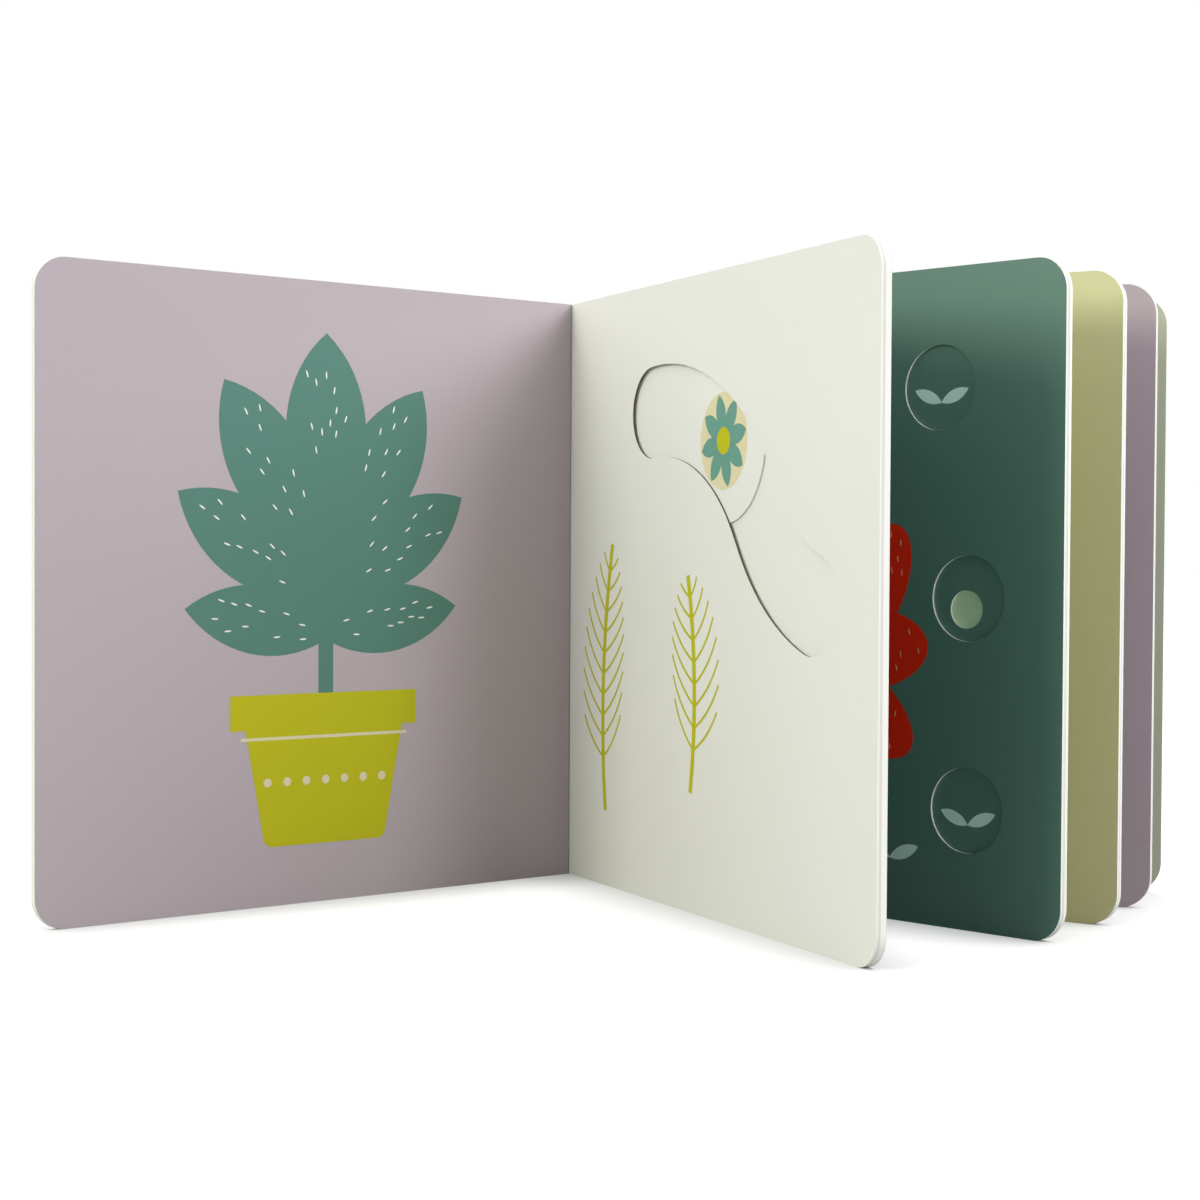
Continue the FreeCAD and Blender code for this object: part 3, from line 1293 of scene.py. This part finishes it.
@dataclass
class Fold:
    """Sheet that bends in a gutter, between one cover and the pages."""

    name: str
    body: Body
    cover_angle: float
    page_angle: float
    side: int
    hinge: Vector
    gutter: Vector
    cover_finish: Coated
    page_finish: Coated
    form: Format = field(default_factory=Format)
    thickness: float = 0.12
    proud: float = 0.02
    cover_reach: float = 0.9
    page_reach: float = 0.4
    pull: float = 0.9
    crease_depth: float = 0.8
    crease_width: float = 0.13
    steps: int = 12

    def points(self) -> list[Vector]:
        """Draw the sheet's curve in plan, flat on both boards and creased between them.

        Returns:
            Its points, from the cover's face to the page's, in mm.
        """
        cover_way = heading_vector(self.cover_angle)
        page_way = heading_vector(self.page_angle)
        level = self.form.face_offset - self.proud
        start = (self.hinge + cover_way * self.cover_reach
                 + heading_vector(self.cover_angle - 90) * level * self.side)
        end = (self.gutter + page_way * self.page_reach
               + heading_vector(self.page_angle - 90) * self.proud * self.side)
        across = (end - start).normalized()
        inward = Vector((-across.y, across.x, 0)) * self.crease_depth * self.side
        points = []
        for step in range(self.steps + 1):
            share = step / self.steps
            first = start - cover_way * self.cover_reach * share * self.pull
            last = end - page_way * self.page_reach * (1 - share) * self.pull
            crease = math.exp(-((share - 0.5) / self.crease_width) ** 2)
            points.append(first.lerp(last, share * share * (3 - 2 * share)) + inward * crease)
        return points

    def build(self) -> None:
        """Model the sheet between both boards and let it bend."""
        points = self.points()
        across = (points[-1] - points[0]).normalized()
        away = Vector((-across.y, across.x, 0)) * self.thickness * self.side
        outline = points + [point + away for point in reversed(points)]
        piece = column(self.name, outline, self.form.height)
        piece.data.materials.clear()
        for finish in (self.cover_finish, self.page_finish, COVER):
            piece.data.materials.append(finish.make())
        middle = (points[0] + points[-1]) / 2
        inner = [(point + other) / 2 for point, other in zip(points, points[1:])]
        for face in piece.data.polygons:
            place = face.center / MM * Vector((1, 1, 0))
            from_outer = min((place - spot - away).length for spot in inner)
            if from_outer < min((place - spot).length for spot in inner):
                face.material_index = 2
            elif (place - middle).dot(across) > 0:
                face.material_index = 1
        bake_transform(piece, self.body.value, Body.PAGES.value, start=tuple(points[0] * MM), end=tuple(points[-1] * MM))
        hand_in(piece, self.body, "cover_board")


@dataclass
class Spine:
    """Glue line and spine board, bevelled where the open front cover swings past."""

    form: Format = field(default_factory=Format)
    bevel_start: float = 0.13
    bevel_run: float = 2.08
    play: float = 0.02
    edge_radius: float = 0.1

    def block(self, name: str, near: float, far: float) -> bpy.types.Object:
        """Model the strip between two depths behind the gutters.

        Args:
            name: Name of the piece.
            near: Depth of its inner face, in mm.
            far: Depth of its outer face, in mm.

        Returns:
            The closed strip, its upright faces in the cover's finish.
        """
        along = heading_vector(self.form.spine_angle)
        back = heading_vector(self.form.spine_angle + 90)
        first, *_, last = self.form.gutters()
        outline = [
            first + along * (self.bevel_start + self.bevel_run * near) + back * near,
            last + back * near,
            last + back * far,
            first + along * (self.bevel_start + self.bevel_run * far) + back * far,
        ]
        piece = column(name, outline, self.form.height)
        soften_edges(piece, self.edge_radius)
        piece.data.materials.clear()
        for finish in (CORE, COVER):
            piece.data.materials.append(finish.make())
        for face in piece.data.polygons:
            face.material_index = 1 if abs(face.normal.z) < FACING else 0
        return piece

    def build(self) -> None:
        """Model the glue strip and the spine board under their wrap."""
        glue = self.form.glue
        outer = glue + self.form.spine_board
        hand_in(self.block("gutter_glue", self.play, glue), Body.PAGES, "page_board", "pages")
        hand_in(self.block("spine_plate", glue, outer), Body.PAGES, "spine_board", "spine")


# Studio

@dataclass(frozen=True)
class Softbox:
    """One round softbox that points at the book.

    Its light comes from an azimuth and elevation in degrees, from a distance in metres. Its
    strength is the light on a surface at the book that faces it, in watts a square metre. Its
    angle is its width as the book sees it, in degrees.
    """

    name: str
    heading: tuple[float, float]
    distance: float
    strength: float
    angle: float
    tint: str = "FFFFFF"

    def hang(self, aim: Vector) -> None:
        """Hang the lamp.

        Args:
            aim: Point that it faces, in metres.
        """
        azimuth, elevation = self.heading
        source = (heading_vector(azimuth) * math.cos(math.radians(elevation))
                  + UP * math.sin(math.radians(elevation)))
        data = bpy.data.lights.new(self.name, "AREA")
        data.shape = "DISK"
        data.size = 2 * self.distance * math.tan(math.radians(self.angle / 2))
        data.energy = self.strength * math.pi * self.distance ** 2
        data.color = linear(self.tint)[:3]
        lamp = bpy.data.objects.new(self.name, data)
        lamp.location = aim + source * self.distance
        lamp.rotation_euler = source.to_track_quat("Z", "Y").to_euler()
        bpy.context.collection.objects.link(lamp)


@dataclass
class Studio:
    """White sweep, soft lamps and the photograph's camera."""

    frame_pixels: float = 1200.0
    focal_pixels: float = 2193.3
    sensor: float = 36.0
    eye: tuple[float, float, float] = (6.6, -700.0, 101.9)
    pitch_down: float = 1.243
    roll: float = 0.32
    clip_start: float = 0.01
    aim: tuple[float, float, float] = (10.0, -80.0, 90.0)
    sweep: float = 12.0
    sweep_grey: float = 0.46
    shadow_reach_mm: float = 28.0
    glow: tuple[float, float] = (0.78, 1.0)
    glow_from: tuple[float, float] = (0.5, 2.5)
    room_light: float = 0.27
    lamps: tuple[Softbox, ...] = (
        Softbox("left_softbox", (-166, 40), 2.2, 1.5, 74),
        Softbox("right_softbox", (-14, 37), 1.2, 2.1, 50),
        Softbox("front_strip", (-49, 16), 2.0, 0.85, 14),
        Softbox("low_fill", (-145, 22), 3.0, 1.35, 22, "FBFFE6"),
        Softbox("back_softbox", (118, 42), 2.4, 1.5, 60),
    )

    def camera(self) -> None:
        """Put the camera where the photograph was taken from."""
        data = bpy.data.cameras.new("camera")
        data.sensor_width = self.sensor
        data.lens = self.focal_pixels / self.frame_pixels * self.sensor
        data.clip_start = self.clip_start
        eye = bpy.data.objects.new("camera", data)
        eye.location = Vector(self.eye) * MM
        eye.rotation_euler = (math.radians(90 - self.pitch_down), math.radians(-self.roll), 0)
        bpy.context.collection.objects.link(eye)
        bpy.context.scene.camera = eye

    def floor(self) -> None:
        """Lay the white floor.

        It takes light and shadow as matt paper does. To the camera it also glows, up to white
        far from the book and less close to what stands on it.
        """
        bpy.ops.mesh.primitive_plane_add(size=self.sweep)
        ground = new_piece("floor")
        material = bpy.data.materials.new("matt_white_paper_sweep")
        material.use_nodes = True
        tree = material.node_tree
        tree.nodes.remove(tree.nodes["Principled BSDF"])
        output = tree.nodes["Material Output"]
        path = add_node(tree, "ShaderNodeLightPath")
        grey = (self.sweep_grey, self.sweep_grey, self.sweep_grey, 1)
        matt = add_node(tree, "ShaderNodeBsdfDiffuse", values={"Color": grey})
        # Ambient occlusion dims the camera glow close to what stands on the floor: a painted contact shadow.
        contact = add_node(tree, "ShaderNodeAmbientOcclusion",
                           values={"Distance": self.shadow_reach_mm * MM})
        place = add_node(tree, "ShaderNodeTexCoord")
        away = add_node(tree, "ShaderNodeVectorMath", {"operation": "LENGTH"},
                        links={0: place.outputs["Object"]})
        rise = add_node(
            tree, "ShaderNodeMapRange",
            values={"From Min": self.glow_from[0], "From Max": self.glow_from[1],
                    "To Min": self.glow[0], "To Max": self.glow[1]},
            links={"Value": away.outputs["Value"]})
        shine = add_node(
            tree, "ShaderNodeEmission",
            links={"Color": contact.outputs["Color"], "Strength": rise.outputs["Result"]})
        dark = add_node(tree, "ShaderNodeEmission", values={"Strength": 0.0})
        seen = add_node(
            tree, "ShaderNodeMixShader",
            links={"Fac": path.outputs["Is Camera Ray"], 1: dark.outputs["Emission"],
                   2: shine.outputs["Emission"]})
        both = add_node(tree, "ShaderNodeAddShader",
                        links={0: matt.outputs["BSDF"], 1: seen.outputs["Shader"]})
        tree.links.new(both.outputs["Shader"], output.inputs["Surface"])
        ground.data.materials.append(material)

    def world(self) -> None:
        """Light the room evenly and show it white to the camera."""
        world = bpy.data.worlds.new("studio_world")
        bpy.context.scene.world = world
        world.use_nodes = True
        tree = world.node_tree
        background = tree.nodes["Background"]
        background.inputs["Color"].default_value = (1, 1, 1, 1)
        background.inputs["Strength"].default_value = self.room_light
        path = add_node(tree, "ShaderNodeLightPath")
        seen = add_node(tree, "ShaderNodeBackground",
                        values={"Color": (1, 1, 1, 1), "Strength": 1.0})
        mix = add_node(
            tree, "ShaderNodeMixShader",
            links={"Fac": path.outputs["Is Camera Ray"], 1: background.outputs["Background"],
                   2: seen.outputs["Background"]})
        tree.links.new(mix.outputs["Shader"], tree.nodes["World Output"].inputs["Surface"])

    def build(self) -> None:
        """Set up the camera, floor, world and lamps."""
        bpy.context.scene.view_settings.view_transform = "Standard"
        self.camera()
        self.floor()
        self.world()
        for lamp in self.lamps:
            lamp.hang(Vector(self.aim) * MM)


def build_covers(form: Format) -> list[Cover]:
    """Describe both covers, each with its inner face a hair off its hinge line.

    Args:
        form: Sizes of the book.

    Returns:
        The front cover and the back cover.
    """
    gap = form.face_offset
    return [
        Cover("front_cover", Body.FRONT, form.front_hinge(), form.front_angle,
              (gap + form.cover, gap), (6.0, 0.6), COVER, MAUVE),
        Cover("back_cover", Body.BACK, form.back_hinge(), form.back_angle,
              (-gap, -gap - form.cover), (0.6, 1.6), PALE, COVER),
    ]


def build_folds(form: Format) -> list[Fold]:
    """Describe the sheets that bend in the first and last gutters.

    Args:
        form: Sizes of the book.

    Returns:
        The front fold and the back fold.
    """
    gutters = form.gutters()
    return [
        Fold("front_gutter_fold", Body.FRONT, form.front_angle, form.leaf_angles[0], 1,
             form.front_hinge(), gutters[0], MAUVE, CREAM),
        Fold("back_gutter_fold", Body.BACK, form.back_angle, form.leaf_angles[-1], -1,
             form.back_hinge(), gutters[-1], PALE, PALE),
    ]


def main() -> None:
    """Build the book's sub-assemblies in order."""
    logging.basicConfig(level=logging.INFO, format="%(name)s: %(message)s")
    bpy.ops.object.select_all(action="DESELECT")
    form = Format()
    Studio().build()
    SliderLeaf(0, CREAM, GREEN).build()
    WindowLeaf(1, GREEN, OLIVE).build()
    Leaf(2, OLIVE, MAUVE).build()
    Leaf(3, MAUVE, PALE).build()
    for cover in build_covers(form):
        cover.build()
    for fold in build_folds(form):
        fold.build()
    Spine().build()
    PottedPlant().build()


if __name__ == "__main__":
    main()
